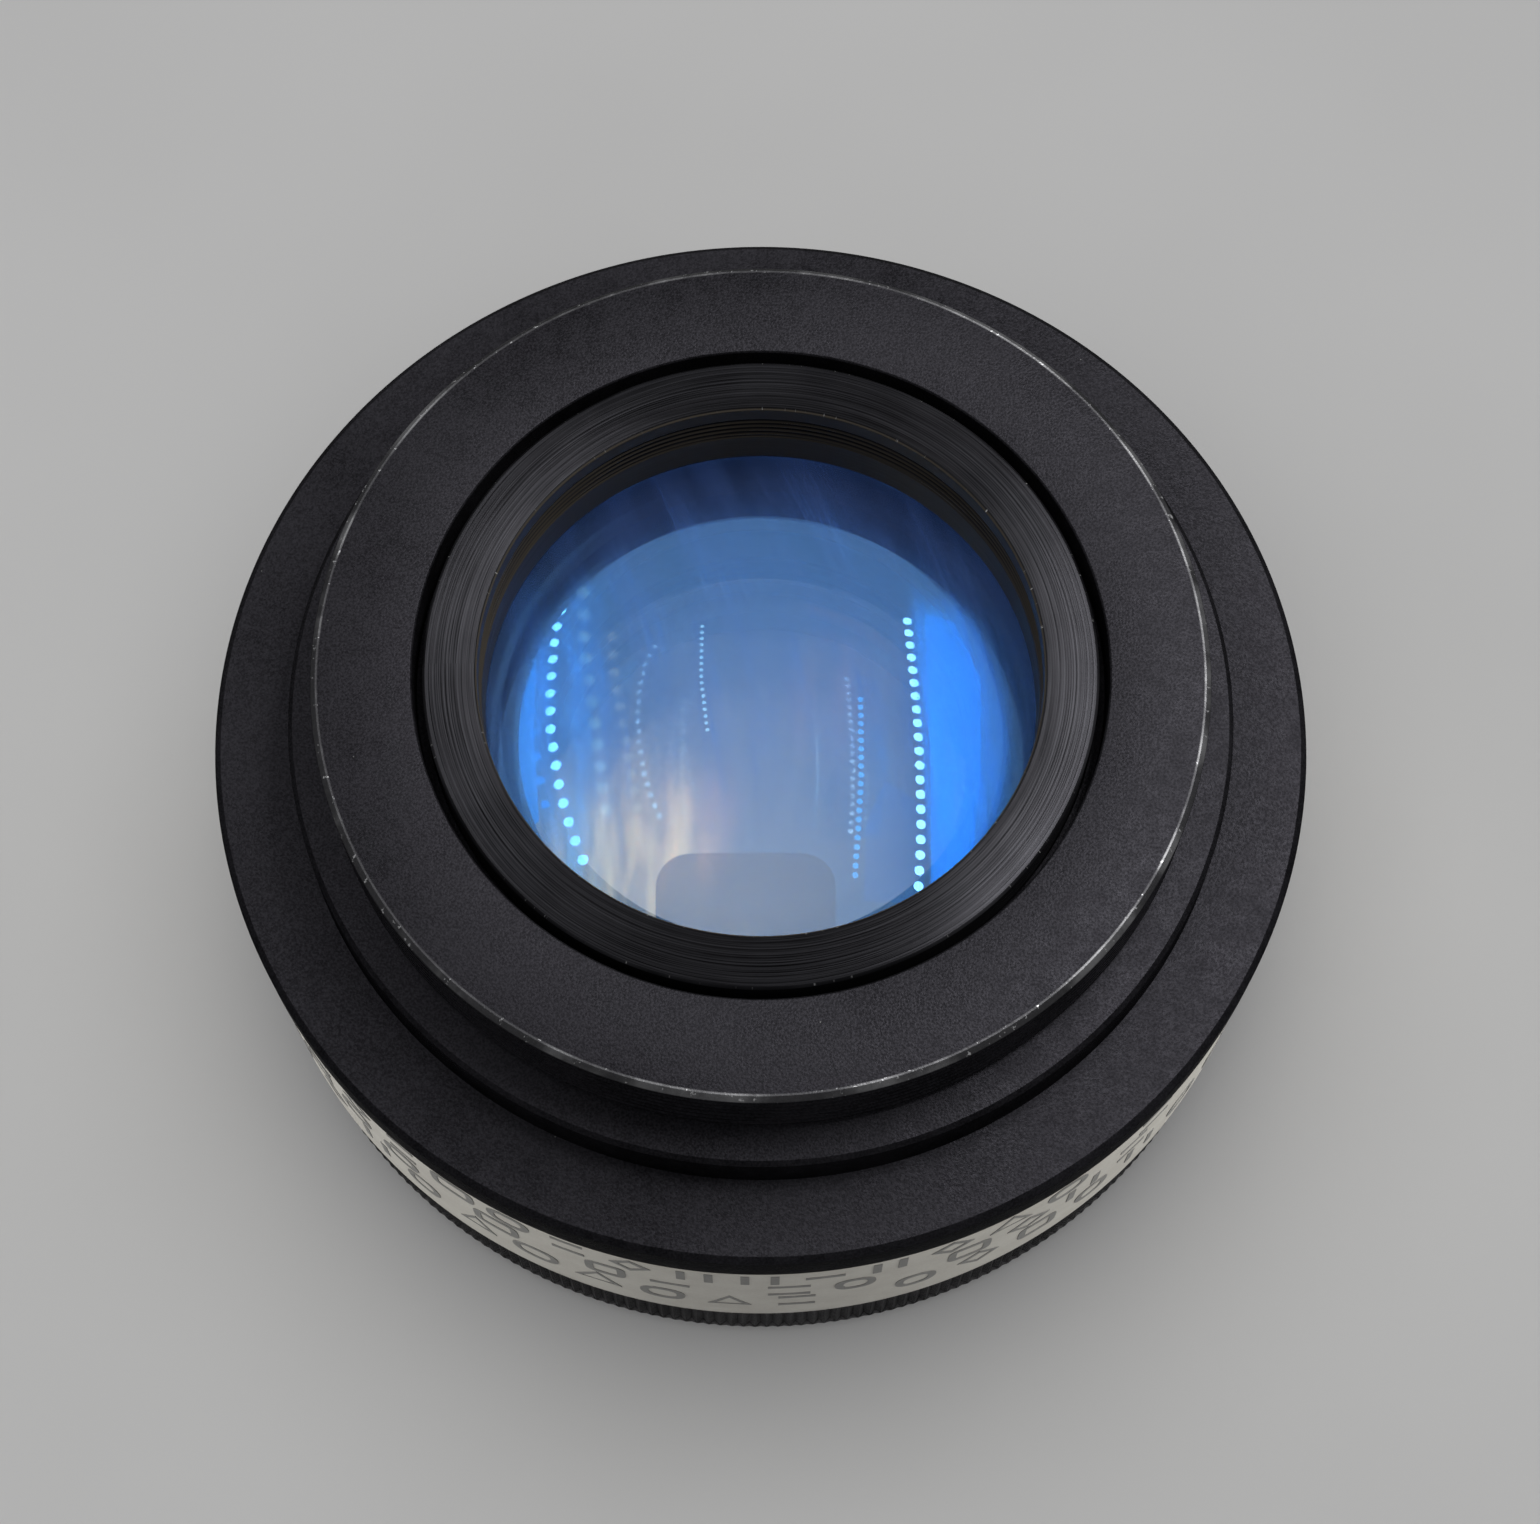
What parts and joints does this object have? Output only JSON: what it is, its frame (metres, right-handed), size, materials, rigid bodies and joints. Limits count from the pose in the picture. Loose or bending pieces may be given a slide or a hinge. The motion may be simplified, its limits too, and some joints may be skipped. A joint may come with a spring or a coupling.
{
  "type": "enlarger lens",
  "caption": "Black enlarger lens on its front rim: threaded rear spigot and wide seating flange, paper-white tape round the barrel, serrated aperture ring, coated glass, working iris.",
  "frame": {"origin": "centre of the front rim, on the surface that the lens stands on", "axes": "+Z is the optical axis, from the front rim up to the rear mounting spigot; -Y is the side with the readable tape; +X is to the right of it"},
  "size_m": [0.0636, 0.0636, 0.032],
  "materials": {
    "black_anodised": "satin black anodised over a fine blasted and turned surface, worn bright along the rear edge",
    "turned_black": "black anodised, fine concentric turning marks that catch the light",
    "matt_black": "matt black anodised",
    "ring_anodised": "dark grey green anodised, finely serrated",
    "label_tape": "ivory laminated label tape with grey print",
    "coated_glass": "polished, blue anti-reflection coating",
    "inner_glass": "polished, coated",
    "blade_steel": "blackened spring steel, satin",
    "steel": "bright steel",
    "spring_bronze": "rolled spring bronze",
    "brass": "turned brass"
  },
  "bodies": {
    "root": {"mount_flange": "black_anodised", "main_barrel": "black_anodised", "label_band": "label_tape", "rear_cell": "turned_black", "rear_element": "coated_glass", "rear_doublet_positive": "inner_glass", "rear_doublet_negative": "inner_glass", "rear_doublet_holder": "matt_black", "rear_retaining_ring": "matt_black", "front_cell": "matt_black", "front_element": "coated_glass", "front_doublet_positive": "inner_glass", "front_doublet_negative": "inner_glass", "front_spacer_ring": "matt_black", "front_retaining_ring": "matt_black", "front_bezel": "black_anodised", "iris_base_plate": "matt_black", "iris_spacer_ring": "brass", "iris_retaining_ring": "matt_black", "click_ball": "steel", "click_spring": "spring_bronze", "click_spring_screw": "steel"},
    "aperture_control": {"aperture_ring": "ring_anodised", "iris_actuator": "matt_black", "aperture_drive_screw": "steel"},
    "blade_1": {"iris_blade_1": "blade_steel"},
    "blade_2": {"iris_blade_2": "blade_steel"},
    "blade_3": {"iris_blade_3": "blade_steel"},
    "blade_4": {"iris_blade_4": "blade_steel"},
    "blade_5": {"iris_blade_5": "blade_steel"}
  },
  "joints": [
    {"name": "aperture_turn", "type": "hinge", "parent": "root", "child": "aperture_control", "pos_m": [0, 0, 0.0044], "axis": [0, 0, 1], "range_deg": [0, 60]},
    {"name": "blade_1_swing", "type": "hinge", "parent": "root", "child": "blade_1", "pos_m": [0.0176, 0, 0.01465], "axis": [0, 0, 1], "range_deg": [0, 30]},
    {"name": "blade_2_swing", "type": "hinge", "parent": "root", "child": "blade_2", "pos_m": [0.00544, 0.01674, 0.01465], "axis": [0, 0, 1], "range_deg": [0, 30]},
    {"name": "blade_3_swing", "type": "hinge", "parent": "root", "child": "blade_3", "pos_m": [-0.01424, 0.01035, 0.01465], "axis": [0, 0, 1], "range_deg": [0, 30]},
    {"name": "blade_4_swing", "type": "hinge", "parent": "root", "child": "blade_4", "pos_m": [-0.01424, -0.01035, 0.01465], "axis": [0, 0, 1], "range_deg": [0, 30]},
    {"name": "blade_5_swing", "type": "hinge", "parent": "root", "child": "blade_5", "pos_m": [0.00544, -0.01674, 0.01465], "axis": [0, 0, 1], "range_deg": [0, 30]}
  ],
  "couplings": [
    {"joint": "blade_1_swing", "follows": "aperture_turn", "ratio": 0.5},
    {"joint": "blade_2_swing", "follows": "aperture_turn", "ratio": 0.5},
    {"joint": "blade_3_swing", "follows": "aperture_turn", "ratio": 0.5},
    {"joint": "blade_4_swing", "follows": "aperture_turn", "ratio": 0.5},
    {"joint": "blade_5_swing", "follows": "aperture_turn", "ratio": 0.5}
  ]
}
